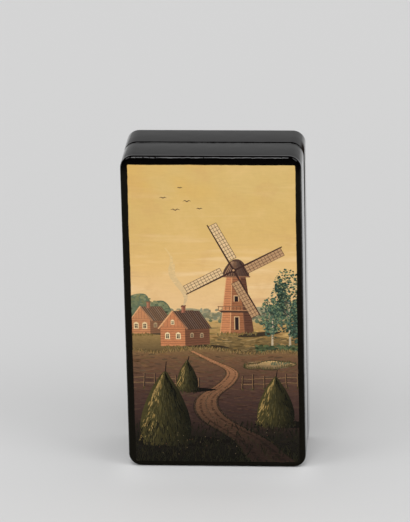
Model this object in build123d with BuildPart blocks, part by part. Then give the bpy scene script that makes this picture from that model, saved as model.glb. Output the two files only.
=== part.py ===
from build123d import *
from math import radians, tan
import os

# An upright hinged papier-mache box, lacquered black, with a picture on its lid.
# X runs across the picture, Y from the picture to the back, Z up. The box stands on one
# short end: the origin is the middle of that end, on the surface it stands on.
# The lid opens like a book cover, on a hidden wire hinge in the left-hand walls.

# Outside of the closed box
box_width = 70.0
box_height = 130.0
corner_radius = 5.0
lid_depth = 16.2
base_depth = 15.5
closing_gap = 0.3  # the fine dark line between lid and base
lid_edge_round = 1.5
base_edge_round = 1.2
lid_rim_round = 0.5
base_rim_round = 1.2

# Walls wound from card strips, and the boards glued into them
wall_thickness = 3.8
board_thickness = 3.0
inner_corner_radius = 1.2

# Lining collar glued into the base, which the lid closes over
collar_thickness = 1.6
collar_reach = 3.0  # how far it stands past the base's rim
collar_clearance = 0.2
collar_tip_chamfer = 0.5
collar_corner_radius = 0.8

# Picture ground: a flush layer let into the front of the lid
picture_margin = 1.9
picture_thickness = 0.25
picture_corner_radius = 0.8

# Hinge: strips of tin folded round a wire, their doubled tails glued into slits in the walls
wire_radius = 0.4
wire_clearance = 0.05
tin_thickness = 0.3
barrel_recess = 0.05  # how far the folds lie below the outside of the box
barrel_clearance = 0.15
tail_depth = 6.0
leaf_length = 20.0
leaf_gap = 0.25
leaf_count = 5
bevel_angle = 52.0  # each outer bevel, from the closing line, so the lid opens 100 degrees
cut_overrun = 2.0

# Places worked out from the sizes
box_depth = lid_depth + closing_gap + base_depth
front_y = -box_depth / 2
back_y = box_depth / 2
lid_rim_y = front_y + lid_depth
base_rim_y = back_y - base_depth
barrel_radius = wire_radius + wire_clearance + tin_thickness
hinge_inset = barrel_recess + barrel_radius
hinge_x = -box_width / 2 + hinge_inset
hinge_y = (lid_rim_y + base_rim_y) / 2
tail_thickness = 2 * tin_thickness
leaf_pitch = leaf_length + leaf_gap
hinge_length = leaf_count * leaf_pitch - leaf_gap
hinge_low_z = (box_height - hinge_length) / 2


def upright_plane(y):
    """The plane across the box at depth y, centred on the picture and facing the front."""
    return Plane(origin=(0, y, box_height / 2), x_dir=(1, 0, 0), z_dir=(0, -1, 0))


def level_plane(z):
    """The level plane at height z, with its origin on the hinge's axis."""
    return Plane(origin=(hinge_x, hinge_y, z))


def rounded_outline(inset, radius, mode=Mode.ADD):
    """The box's outline, drawn in by an inset, with corners of the given radius."""
    RectangleRounded(box_width - 2 * inset, box_height - 2 * inset, radius, mode=mode)


def leaf_low_z(index):
    """The lower end of one folded strip, counted from the bottom."""
    return hinge_low_z + index * leaf_pitch


def leaf_tail(toward):
    """The section of a strip's tail, which leaves the fold on its inner side."""
    with Locations((barrel_radius - tail_thickness / 2, toward * tail_depth / 2)):
        Rectangle(tail_thickness, tail_depth)


# The strips go by turns to the base, from the bottom one up, and to the lid
base_leaves = range(0, leaf_count, 2)
lid_leaves = range(1, leaf_count, 2)
toward_base = 1
toward_lid = -1


def hinge_seat(leaves, toward):
    """What one wall loses to the hinge: a channel, slits for the tails and an outer bevel."""
    bevel_width = hinge_inset + cut_overrun
    bevel_rise = toward * bevel_width * tan(radians(bevel_angle))
    with BuildPart() as seat:
        with BuildSketch(level_plane(hinge_low_z - leaf_gap)):
            Circle(barrel_radius + barrel_clearance)
        extrude(amount=hinge_length + 2 * leaf_gap)
        for index in leaves:
            with BuildSketch(level_plane(leaf_low_z(index))):
                leaf_tail(toward)
            extrude(amount=leaf_length)
        with BuildSketch(level_plane(-cut_overrun)):
            with BuildLine():
                Polyline((0, 0), (-bevel_width, 0), (-bevel_width, bevel_rise), close=True)
            make_face()
        extrude(amount=box_height + 2 * cut_overrun)
    return seat.part


def hinge_leaf(index, toward, label):
    """One strip of tin folded round the wire, with its tail in the base's or the lid's wall."""
    with BuildPart() as leaf:
        with BuildSketch(level_plane(leaf_low_z(index))):
            Circle(barrel_radius)
            leaf_tail(toward)
            Circle(wire_radius + wire_clearance, mode=Mode.SUBTRACT)
        extrude(amount=leaf_length)
    leaf.part.label = label
    return leaf


# Base wall: a wound ring with a rounded back edge and the hinge seat in its left side
base_hinge_seat = hinge_seat(base_leaves, toward_base)
with BuildPart() as base_wall:
    with BuildSketch(upright_plane(back_y)):
        rounded_outline(0, corner_radius)
    extrude(amount=base_depth)
    fillet(base_wall.faces().sort_by(Axis.Y)[-1].edges(), base_edge_round)
    fillet(base_wall.faces().sort_by(Axis.Y)[0].edges(), base_rim_round)
    with BuildSketch(upright_plane(back_y)):
        rounded_outline(wall_thickness, inner_corner_radius)
    extrude(amount=base_depth, mode=Mode.SUBTRACT)
    add(base_hinge_seat, mode=Mode.SUBTRACT)
base_wall.part.label = "base_wall"

# Base board: the back of the box, glued inside the ring
with BuildPart() as base_board:
    with BuildSketch(upright_plane(back_y)):
        rounded_outline(wall_thickness, inner_corner_radius)
    extrude(amount=board_thickness)
base_board.part.label = "base_board"

# Collar: a thin ring lining the base, standing proud of its rim to locate the lid
with BuildPart() as base_collar:
    with BuildSketch(upright_plane(back_y - board_thickness)):
        rounded_outline(wall_thickness, inner_corner_radius)
        collar_inset = wall_thickness + collar_thickness
        rounded_outline(collar_inset, collar_corner_radius, mode=Mode.SUBTRACT)
    extrude(amount=base_depth - board_thickness + collar_reach)
    tip_edges = base_collar.faces().sort_by(Axis.Y)[0].outer_wire().edges()
    chamfer(tip_edges, collar_tip_chamfer)
base_collar.part.label = "base_collar"

# Lid wall: a wound ring with a rounded front edge, rebated in front for the picture
lid_inset = wall_thickness - collar_clearance
lid_corner_radius = inner_corner_radius + collar_clearance
lid_hinge_seat = hinge_seat(lid_leaves, toward_lid)
with BuildPart() as lid_wall:
    with BuildSketch(upright_plane(lid_rim_y)):
        rounded_outline(0, corner_radius)
    extrude(amount=lid_depth)
    fillet(lid_wall.faces().sort_by(Axis.Y)[0].edges(), lid_edge_round)
    with BuildSketch(upright_plane(lid_rim_y)):
        rounded_outline(lid_inset, lid_corner_radius)
    extrude(amount=lid_depth, mode=Mode.SUBTRACT)
    fillet(lid_wall.faces().sort_by(Axis.Y)[-1].edges(), lid_rim_round)
    with BuildSketch(upright_plane(front_y + picture_thickness)):
        rounded_outline(picture_margin, picture_corner_radius)
    extrude(amount=picture_thickness, mode=Mode.SUBTRACT)
    add(lid_hinge_seat, mode=Mode.SUBTRACT)
lid_wall.part.label = "lid_wall"

# Lid board: the flat board behind the picture
with BuildPart() as lid_board:
    with BuildSketch(upright_plane(front_y + picture_thickness + board_thickness)):
        rounded_outline(lid_inset, lid_corner_radius)
    extrude(amount=board_thickness)
lid_board.part.label = "lid_board"

# Picture ground: lies flush in the rebate, over the board and the joint round it
with BuildPart() as lid_picture:
    with BuildSketch(upright_plane(front_y + picture_thickness)):
        rounded_outline(picture_margin, picture_corner_radius)
    extrude(amount=picture_thickness)
lid_picture.part.label = "lid_picture"

# Hinge wire: one length of steel wire through every fold
with BuildPart() as hinge_wire:
    with BuildSketch(level_plane(hinge_low_z)):
        Circle(wire_radius)
    extrude(amount=hinge_length)
hinge_wire.part.label = "hinge_wire"

# Hinge leaves: the folded strips of the base and of the lid, from the bottom up
hinge_leaves = []
for number, index in enumerate(base_leaves, start=1):
    hinge_leaves.append(hinge_leaf(index, toward_base, f"base_hinge_leaf_{number}"))
for number, index in enumerate(lid_leaves, start=1):
    hinge_leaves.append(hinge_leaf(index, toward_lid, f"lid_hinge_leaf_{number}"))

os.makedirs("parts", exist_ok=True)
pieces = [base_wall, base_board, base_collar, lid_wall, lid_board, lid_picture, hinge_wire]
for piece in pieces + hinge_leaves:
    export_step(piece.part, f"parts/{piece.part.label}.step")
    print(piece.part.label, round(piece.part.volume, 1), "cubic mm")
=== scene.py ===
# %% [markdown]
# # A painted lacquer box, standing on its end
#
# The box is card wound and glued into two rings, lacquered black outside and red inside, with a
# landscape painted on the lid. The modelled rings, boards and hinge come from the frame, at their
# real size. What is left for Blender is what the hand sees: lacquer, paint, tin and light.

import math
import random

import bmesh
import bpy
from mathutils import Matrix, Vector


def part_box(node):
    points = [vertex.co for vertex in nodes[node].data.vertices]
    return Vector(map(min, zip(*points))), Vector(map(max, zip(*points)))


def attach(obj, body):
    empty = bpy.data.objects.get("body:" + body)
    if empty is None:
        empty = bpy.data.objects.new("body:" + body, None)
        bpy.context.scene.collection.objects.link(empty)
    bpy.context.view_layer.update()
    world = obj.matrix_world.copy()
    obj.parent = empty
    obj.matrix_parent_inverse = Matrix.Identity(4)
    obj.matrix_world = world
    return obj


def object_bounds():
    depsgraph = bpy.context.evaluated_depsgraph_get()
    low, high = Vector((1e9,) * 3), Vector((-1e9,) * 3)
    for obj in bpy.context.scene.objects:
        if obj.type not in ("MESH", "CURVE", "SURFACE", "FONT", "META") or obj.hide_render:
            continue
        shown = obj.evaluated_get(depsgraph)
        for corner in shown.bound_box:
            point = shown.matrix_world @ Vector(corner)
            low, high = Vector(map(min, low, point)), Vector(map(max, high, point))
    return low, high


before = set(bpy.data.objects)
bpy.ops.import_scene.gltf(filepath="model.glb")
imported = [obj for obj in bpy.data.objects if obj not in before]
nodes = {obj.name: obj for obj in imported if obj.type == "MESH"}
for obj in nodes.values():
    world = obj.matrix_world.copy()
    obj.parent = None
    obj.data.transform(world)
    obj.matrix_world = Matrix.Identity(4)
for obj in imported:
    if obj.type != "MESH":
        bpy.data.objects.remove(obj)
cad_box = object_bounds()
print("pieces in the frame:", len(nodes))

# %% Sizes that the looks hang on, in metres
mm = 0.001
box_low, box_high = cad_box
picture_low, picture_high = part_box("lid_picture")
middle_z = (box_low.z + box_high.z) / 2
face_y = picture_low.y
closing_y = (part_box("lid_wall")[1].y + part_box("base_wall")[0].y) / 2
print("picture, mm:", [round(v / mm, 2) for v in picture_high - picture_low])
print("closing line, mm behind the middle:", round(closing_y / mm, 2))

# %% [markdown]
# ## The camera
#
# The photograph was taken from a little above and to the right, through a long lens that was not
# quite level. A pinhole camera fitted to the box's edges gives these angles. The aim is the point
# of the picture that lies at the middle of the image.

# %% Place the camera
image_width, image_height = 410, 522
sensor = 36.0
focal_pixels = 4167.0
aim = Vector((-2.92 * mm, face_y, 87.13 * mm))


def added(name, data):
    """A new object in the scene."""
    thing = bpy.data.objects.new(name, data)
    bpy.context.scene.collection.objects.link(thing)
    return thing


def stand_back(thing, target, distance, azimuth, elevation, roll=0.0):
    """Stands a camera or a lamp off from a point and turns it to look back at it. Angles are in
    degrees: azimuth 0 is in front of the box, and 90 on its right."""
    turn, rise = math.radians(azimuth), math.radians(elevation)
    away = Vector((math.sin(turn) * math.cos(rise), -math.cos(turn) * math.cos(rise), math.sin(rise)))
    rolled = Matrix.Rotation(math.radians(roll), 4, "Z").to_quaternion()
    thing.location = target + away * distance
    thing.rotation_mode = "QUATERNION"
    thing.rotation_quaternion = (-away).to_track_quat("-Z", "Y") @ rolled


lens = bpy.data.cameras.new("camera")
lens.sensor_width = sensor
lens.lens = focal_pixels * sensor / max(image_width, image_height)
camera = added("camera", lens)
stand_back(camera, aim, distance=1.615, azimuth=4.82, elevation=21.05, roll=-1.39)
bpy.context.scene.camera = camera
bpy.context.scene.view_settings.view_transform = "Standard"
print("camera at", [round(v, 3) for v in camera.location], "lens", round(lens.lens, 1), "mm")

# %% [markdown]
# ## A small language for shaders
#
# A material is arithmetic on numbers that change over a surface. Wrapping a socket in a class that
# has Python's own operators lets that arithmetic be read as such: `1 - mask` adds a Math node.
# Every other node comes from one method, which takes its type, its sockets and its settings.

# %% Wrap a socket, so that operators add Math nodes
class Signal:
    """A number, colour or vector that runs along a wire of one node tree."""

    def __init__(self, finish, socket):
        self.finish = finish
        self.socket = socket

    def __add__(self, other):
        return self.finish.math("ADD", self, other)

    def __radd__(self, other):
        return self.finish.math("ADD", other, self)

    def __sub__(self, other):
        return self.finish.math("SUBTRACT", self, other)

    def __rsub__(self, other):
        return self.finish.math("SUBTRACT", other, self)

    def __mul__(self, other):
        return self.finish.math("MULTIPLY", self, other)

    def __rmul__(self, other):
        return self.finish.math("MULTIPLY", other, self)

    def __truediv__(self, other):
        return self.finish.math("DIVIDE", self, other)

    def __rtruediv__(self, other):
        return self.finish.math("DIVIDE", other, self)


# %% Build a node tree from plain calls
class Finish:
    """The node tree of one material or of the world."""

    def __init__(self, holder):
        self.holder = holder
        holder.use_nodes = True
        self.tree = holder.node_tree
        self.tree.nodes.clear()

    def node(self, kind, sockets=None, output=0, **settings):
        """Adds a node and returns one of its outputs. Settings go in before the sockets."""
        made = self.tree.nodes.new("ShaderNode" + kind)
        for name, value in settings.items():
            if name == "stops":
                ramp = made.color_ramp
                while len(ramp.elements) < len(value):
                    ramp.elements.new(1.0)
                for element, (place, colour) in zip(ramp.elements, value):
                    element.position = place
                    element.color = colour
            else:
                setattr(made, name, value)
        for name, value in (sockets or {}).items():
            if isinstance(value, Signal):
                self.tree.links.new(value.socket, made.inputs[name])
            else:
                made.inputs[name].default_value = value
        return Signal(self, made.outputs[output]) if made.outputs else None

    def put_on(self, surface, kind="OutputMaterial"):
        """Joins a surface to the tree's output, and hands over the material or the world."""
        self.node(kind, {"Surface": surface})
        return self.holder

    def math(self, operation, *values):
        return self.node("Math", dict(enumerate(values)), operation=operation)

    def blend(self, factor, first, second):
        """A colour between two colours."""
        return self.node("Mix", {0: factor, 6: first, 7: second}, output=2, data_type="RGBA")

    def smooth(self, value, low, high):
        """0 below low, 1 above high, and an even ease between them."""
        sockets = {"Value": value, "From Min": low, "From Max": high}
        return self.node("MapRange", sockets, interpolation_type="SMOOTHSTEP")

    def fall(self, value, low, high):
        """The same ease the other way: 1 below low, 0 above high."""
        return 1 - self.smooth(value, low, high)

    def noise(self, place, scale, detail=2.0, roughness=0.5, distortion=0.0):
        sockets = {"Vector": place, "Scale": scale, "Detail": detail, "Roughness": roughness,
                   "Distortion": distortion}
        return self.node("TexNoise", sockets)

    def strands(self, place, across, along, tilt, scale=1.0, **more):
        """Noise that is drawn out into strands, at a tilt, for a grain that runs one way."""
        sockets = {"Vector": place, "Scale": (across, across, along), "Rotation": (0.0, tilt, 0.0)}
        return self.noise(self.node("Mapping", sockets), scale, **more)

    def place(self):
        """Object coordinates, in metres, which are the frame's own."""
        return self.node("TexCoord", output=3)

    def axes(self, vector):
        """The x, y and z of a vector, as three numbers."""
        x = self.node("SeparateXYZ", {0: vector})
        return [Signal(self, socket) for socket in x.socket.node.outputs]


def srgb(red, green, blue):
    """A colour as an eye reads it on a screen, from 0 to 255, as the linear light it stands for."""
    linear = []
    for part in (red, green, blue):
        share = part / 255
        linear.append(share / 12.92 if share <= 0.04045 else ((share + 0.055) / 1.055) ** 2.4)
    return (*linear, 1.0)


def grey(level):
    """A grey of a given linear level."""
    return (level, level, level, 1.0)


def new_finish(name):
    return Finish(bpy.data.materials.new(name))


# %% [markdown]
# ## The table and the light
#
# The box stands on pale card. Two soft lamps high in front, one each side, lay soft shadows behind
# the box on both sides, and a narrow one overhead draws the thin bright line along the lid's front
# edge. Black lacquer has no colour of its own to speak of: it shows what stands around it. So what
# glossy rays meet matters here: pale card behind, and the dark of the room in front. The card is
# given a paler grey right in front of the box, a painted pool of light over the shade that the box
# casts there, because it came out darker there than in the photo.

# %% Lay the table
table_half = 3.0

table_mesh = bpy.data.meshes.new("table")
sheet = bmesh.new()
bmesh.ops.create_grid(sheet, x_segments=1, y_segments=1, size=table_half)
sheet.to_mesh(table_mesh)
sheet.free()
table = added("table", table_mesh)
print("table, m:", [round(v, 2) for v in table.dimensions])

# %% Colour the card
painted_light_grey, near_grey, far_light_grey = 0.72, 0.59, 0.655
grey_in_gloss = 0.04

card = new_finish("pale_card")
card_x, card_y, _ = card.axes(card.place())
card_grain = card.noise(card.place(), 900.0, detail=3.0) - 0.5
# Painted light: the card turns paler farther back, which stands in for more light on it there.
far_light_share = card.smooth(card_y + card_grain * 0.05, 0.10, 0.70)
card_colour = card.blend(far_light_share, grey(near_grey), grey(far_light_grey))

# Painted light: a paler patch of card close in front of the box, over the shade that the box casts there.
from_side = card.math("ABSOLUTE", card_x) - box_high.x
from_box = card.math("MAXIMUM", from_side, card.math("ABSOLUTE", card_y) - box_high.y)
painted_light_near_box = card.fall(from_box, -0.01, 0.028) * card.fall(card_y, 0.005, 0.030)
painted_light_near_box = painted_light_near_box * card.fall(from_side, -0.006, 0.012)
card_colour = card.blend(painted_light_near_box, card_colour, grey(painted_light_grey))

out_right = card.smooth(card_x, 0.10, 0.35)
in_front = card.fall(card_y, box_low.y - out_right * 0.20, box_low.y + 0.02 + out_right * 0.05)
on_the_left = card.fall(card_x, box_low.x - 0.30, box_low.x - 0.01)
on_the_left = on_the_left * card.fall(card_y, 0.17, 0.30)
gloss_ray = card.node("LightPath", output=3)
darkened = gloss_ray * card.math("MAXIMUM", in_front, on_the_left)
card_surface = card.node("BsdfPrincipled", {
    "Base Color": card.blend(darkened, card_colour, grey(grey_in_gloss)),
    "Roughness": 0.9,
    "Specular IOR Level": 0.1,
})
table_mesh.materials.append(card.put_on(card_surface))
print("card greys, from close by to far back:", painted_light_grey, near_grey, far_light_grey)

# %% Surround the box
pale = 0.66
backdrop_in_gloss, room_in_gloss = 0.45, 0.02
backdrop_low, backdrop_top = 0.42, 0.60
light_from_front, light_from_behind = 1.12, 0.62

surround = Finish(bpy.data.worlds.new("surround"))
direction = surround.axes(surround.node("TexCoord"))
ray_is_camera = surround.node("LightPath")
ray_is_glossy = surround.node("LightPath", output=3)
turned_back = surround.smooth(direction[1], -0.6, 0.6)
ambient = light_from_front + turned_back * (light_from_behind - light_from_front)
behind = surround.smooth(direction[1], 0.0, 0.55)
low_enough = surround.fall(direction[2], backdrop_low, backdrop_top)
seen_in_gloss = room_in_gloss + behind * low_enough * (backdrop_in_gloss - room_in_gloss)
strength = ambient + ray_is_camera * (pale - ambient) + ray_is_glossy * (seen_in_gloss - ambient)
background = surround.node("Background", {"Color": (1.0, 1.0, 1.0, 1.0), "Strength": strength})
bpy.context.scene.world = surround.put_on(background, "OutputWorld")
print("light from the front and from behind:", light_from_front, light_from_behind)

# %% Hang the lamps
lamp_distance = 1.5


def soft_lamp(name, azimuth, elevation, width, height, power):
    """A soft lamp that looks at the middle of the box."""
    data = bpy.data.lights.new(name, "AREA")
    data.shape = "RECTANGLE"
    data.size = width
    data.size_y = height
    data.energy = power
    stand_back(added(name, data), Vector((0, 0, middle_z)), lamp_distance, azimuth, elevation)
    print(name, "radiance", round(power / (math.pi * width * height), 2))


soft_lamp("lamp_left", azimuth=-60, elevation=46, width=0.5, height=0.5, power=1.9)
soft_lamp("lamp_right", azimuth=60, elevation=46, width=0.5, height=0.5, power=2.6)
soft_lamp("lamp_above", azimuth=-6, elevation=61, width=0.4, height=0.6, power=4.2)

# %% [markdown]
# ## Black lacquer
#
# Many thin coats of oil lacquer, each rubbed down and the last one polished. It is a clear gloss
# over black, so nearly all that it shows is reflection: weak where one looks straight at it, and
# strong where one looks along it. A clear coat over a matt black would look much the same, at the
# cost of one more layer. A low, slow bump keeps the reflections from being glass, and finger marks
# change only the roughness.

# %% Mix the colours under the lacquer
black, browned = srgb(2, 1, 1), srgb(19, 17, 12)
red, deep_red = (0.40, 0.022, 0.014, 1.0), (0.33, 0.016, 0.011, 1.0)
# The dull black of the rims stands partly for wear and partly for painted shade along the closing line.
dull_shade_black, rubbed_red = srgb(30, 25, 21), (0.045, 0.006, 0.005, 1.0)
brown_fade_low, brown_fade_high = 121 * mm, 126.5 * mm


def black_browned_below(finish):
    """Black that turns brown below a wavering line near the top end, and stays deep along its top."""
    z = finish.axes(finish.place())[2]
    patchy = (finish.noise(finish.place(), 90.0, detail=3.0) - 0.5) * (4 * mm)
    below_top_share = finish.fall(z + patchy, brown_fade_low, brown_fade_high)
    return finish.blend(below_top_share, black, browned)


print("the black is browned below, mm:", round(brown_fade_high / mm, 1))

# %% Wave its surface
front_waver, rim_waver = 7.0, 2.5
bump_strength, bump_distance = 0.12, 0.6 * mm


def from_closing_line(finish, place):
    """How far a point lies before or behind the line between lid and base."""
    return finish.math("ABSOLUTE", finish.axes(place)[1] - closing_y)


def edge_waver(finish, place):
    """Height of the wavering coat over rounded edges, where the lacquer draws back as it dries."""
    y = finish.axes(place)[1]
    front_edge = finish.fall(y, face_y + 1.3 * mm, face_y + 2.0 * mm)
    rims = finish.fall(from_closing_line(finish, place), 0.5 * mm, 1.6 * mm)
    runs = finish.noise(place, 230.0, roughness=0.6)
    return (front_edge * front_waver + rims * rim_waver) * runs


def crown(finish, place):
    """Height of a hand-rubbed wall, which falls away a little towards both its edges."""
    from_middle = (from_closing_line(finish, place) - 8.0 * mm) / mm
    return from_middle * from_middle * -0.05


def dust_nibs(finish, place):
    """Height of the few grains of dust that were caught in the last coat."""
    cells = {"Vector": place, "Scale": 210.0}
    from_grain = finish.node("TexVoronoi", cells)
    lot = finish.axes(finish.node("TexVoronoi", cells, output=1))[0]
    return finish.fall(from_grain, 0.02, 0.07) * finish.smooth(lot, 0.86, 0.88) * 0.35


def lacquer_relief(finish, place, depth):
    """The low waves that a brush and a rubbing block leave in polished lacquer."""
    waves = finish.noise(place, 160.0, detail=1.0)
    pores = finish.noise(place, 1400.0)
    height = waves + pores * 0.06 + edge_waver(finish, place)
    height = height + crown(finish, place) + dust_nibs(finish, place)
    return finish.node("Bump", {"Strength": bump_strength * depth, "Distance": bump_distance,
                                "Height": height})


# %% Wear it, and put it on
lacquer_ior = 1.42
held_low, held_high = 55 * mm, 122 * mm
picture_relief = 0.5


def lacquer_wear(finish, place):
    """Roughness of polished lacquer that has been handled."""
    smudges = finish.smooth(finish.noise(place, 70.0, detail=4.0, roughness=0.62), 0.45, 0.75)
    hairlines = finish.strands(place, 1.0, 9.0, 0.5, scale=500.0)
    return 0.03 + smudges * 0.045 + hairlines * 0.02


def dull_rims_and_shade(finish, place):
    """1 along the closing line on the right, where fingers open the lid and rub the rims dull. The dull
    black there is also painted shade, which darkens the closing line.
    """
    x, y, z = finish.axes(place)
    behind_line = y - closing_y + (finish.noise(place, 60.0) - 0.5) * (1.2 * mm)
    held = finish.smooth(z, held_low, held_high)
    near_line = finish.smooth(behind_line, -0.6 * mm, 0.2 * mm)
    near_line = near_line * finish.fall(behind_line - held * (3.0 * mm), 1.0 * mm, 7.0 * mm)
    near_line = near_line * (0.45 + held * 0.55)
    return near_line * finish.smooth(x, box_high.x - 1.6 * mm, box_high.x - 0.5 * mm)


def lacquer_surface(finish, colour, relief=1.0, dull_dark_rims=False):
    """Finishes a material as clear polished lacquer over a colour. Rims may be rubbed dull and dark, which
    is wear and painted shade together.
    """
    place = finish.place()
    surface = finish.node("BsdfPrincipled", {
        "Base Color": colour,
        "Roughness": lacquer_wear(finish, place),
        "IOR": lacquer_ior,
        "Normal": lacquer_relief(finish, place, relief),
    })
    if dull_dark_rims:
        # Painted shade: this dull dark band also darkens the closing line on the right, as shade in the
        # joint would.
        dull = finish.node("BsdfDiffuse", {"Color": dull_shade_black, "Roughness": 0.5})
        surface = finish.node("MixShader", {0: dull_rims_and_shade(finish, place), 1: surface, 2: dull})
    return finish.put_on(surface)


def dress(name, material):
    """Gives a frame piece its finish, through the object's own material slot."""
    piece = nodes[name]
    if not piece.material_slots:
        piece.data.materials.append(None)
    for slot in piece.material_slots:
        slot.link = "OBJECT"
        slot.material = material


# %% [markdown]
# ## Red inside
#
# The box is red inside, and each ring is one solid, so its finish has to change colour within the
# wall. The faces could be split and given two materials. A mask on the coordinates needs no split,
# and its line can waver as a hand-cut edge of colour does.

# %% Tell the box's inside from its outside
wall_skin, back_skin = 3.0 * mm, 1.3 * mm
edge_softness = 0.1 * mm


def inside_ring(finish):
    """1 deeper in than the rings' outer skin."""
    x, y, z = finish.axes(finish.place())
    waver = finish.noise(finish.place(), 120.0) * (0.5 * mm)
    from_side = finish.math("ABSOLUTE", x) + waver - (box_high.x - wall_skin)
    from_end = finish.math("ABSOLUTE", z - middle_z) + waver - (box_high.z - middle_z - wall_skin)
    from_back = finish.math("ABSOLUTE", y) - (box_high.y - back_skin)
    beyond = finish.math("MAXIMUM", finish.math("MAXIMUM", from_side, from_end), from_back)
    return finish.fall(beyond, -edge_softness, edge_softness)


def inside_back(finish):
    """1 in front of the back board's outer half."""
    from_back = finish.axes(finish.place())[1] - (box_high.y - back_skin)
    return finish.fall(from_back, -edge_softness, edge_softness)


def black_and_red(name, inside, dull_dark_rims=False):
    """Black lacquer outside and red inside. `inside` works out the red's mask."""
    finish = new_finish(name)
    return lacquer_surface(finish, finish.blend(inside(finish), black_browned_below(finish), red), dull_dark_rims=dull_dark_rims)


dress("lid_wall", black_and_red("lid_lacquer", inside_ring, dull_dark_rims=True))
dress("base_wall", black_and_red("base_lacquer", inside_ring, dull_dark_rims=True))
dress("base_board", black_and_red("back_lacquer", inside_back))
print("black skin of the rings, mm:", round(wall_skin / mm, 1))

# %% Wear the red through on the collar's tip
tip_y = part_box("base_collar")[0].y


def worn_red(finish):
    """Red that is a little uneven, and rubbed through to the black under it on the collar's tip."""
    place = finish.place()
    uneven = finish.blend(finish.noise(place, 60.0, detail=3.0), red, deep_red)
    y = finish.axes(place)[1] + (finish.noise(place, 170.0, detail=4.0, roughness=0.6) - 0.5) * (1.1 * mm)
    on_tip = finish.smooth(y, tip_y - 0.8 * mm, tip_y - 0.6 * mm)
    on_tip = on_tip * finish.fall(y, tip_y + 0.02 * mm, tip_y + 0.34 * mm)
    return finish.blend(on_tip * 0.75, uneven, rubbed_red)


red_finish = new_finish("red_lacquer")
red_lacquer = lacquer_surface(red_finish, worn_red(red_finish))
dress("lid_board", red_lacquer)
dress("base_collar", red_lacquer)
print("collar's tip, mm before the middle:", round(-tip_y / mm, 2))

# %% [markdown]
# ## The hinge's metal
#
# Folded tinned sheet on a drawn steel wire. Tin goes dull and patchy, so its roughness and colour
# wander together. One function makes both metals, because they differ only in numbers.

# %% Make the metal
def metal(name, bright, dull, rough):
    finish = new_finish(name)
    patches = finish.noise(finish.place(), 420.0, detail=4.0, roughness=0.6)
    surface = finish.node("BsdfPrincipled", {
        "Base Color": finish.blend(patches, bright, dull),
        "Metallic": 1.0,
        "Roughness": rough + patches * 0.25,
    })
    return finish.put_on(surface)


tin = metal("tinned_sheet", bright=(0.36, 0.33, 0.29, 1.0), dull=(0.13, 0.11, 0.09, 1.0), rough=0.30)
wire = metal("steel_wire", bright=(0.40, 0.38, 0.35, 1.0), dull=(0.18, 0.15, 0.13, 1.0), rough=0.20)
leaves = [name for name in nodes if "hinge_leaf" in name]
for name in leaves:
    dress(name, tin)
dress("hinge_wire", wire)
print("leaves of tin:", len(leaves))

# %% [markdown]
# ## The picture's edge
#
# The painter leaves a black frame of bare lacquer round the picture and cuts it in by hand. It is
# widest along the top, a little wider on the left than on the right, and its line wavers. The same
# mask is in the finish of the sky and of everything laid over it, so all of them stop at one line.

# %% Cut in the black frame
frame_left, frame_top, frame_bottom = 2.9, 3.4, 2.3
frame_right_top, frame_right_bottom = 2.4, 2.45
corner_ease = 0.8
half_width_mm = box_high.x / mm
height_mm = box_high.z / mm


def within_frame(finish):
    """1 on the painted part of the picture, and 0 on its black frame."""
    x, _, z = finish.axes(finish.place())
    x, z = x / mm, z / mm
    waver = (finish.noise(finish.place(), 55.0) - 0.5) * 0.55
    waver = waver + (finish.noise(finish.place(), 420.0) - 0.5) * 0.22
    rise = z / height_mm
    nearest = x + half_width_mm - frame_left
    right = half_width_mm - x - frame_right_bottom - rise * (frame_right_top - frame_right_bottom)
    for side in (right, height_mm - frame_top - z, z - frame_bottom):
        nearest = finish.math("SMOOTH_MIN", nearest, side, corner_ease)
    return finish.smooth(nearest + waver, -0.12, 0.14)


def painted(name, colour_of):
    """A finish of paint under clear lacquer, inside the black frame."""
    finish = new_finish(name)
    colour = finish.blend(within_frame(finish), black_browned_below(finish), colour_of(finish))
    return lacquer_surface(finish, colour, picture_relief)


print("frame, mm, left, right, top, bottom:", frame_left, frame_right_top, frame_top, frame_bottom)

# %% [markdown]
# ## The sky
#
# The picture starts with its sky, laid wet over the whole ground and blended while it was soft.
# So the sky is a finish of the picture's own layer, and what stands before it is laid on top. An
# image could hold it, but noise drawn out into bands gives cloud that stays fine from close by.

# %% Paint the sky
horizon_mm = 62.0
amber = [(0.0, srgb(228, 190, 138)), (0.30, srgb(222, 183, 118)), (0.62, srgb(214, 178, 110)),
         (1.0, srgb(212, 180, 114))]


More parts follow.
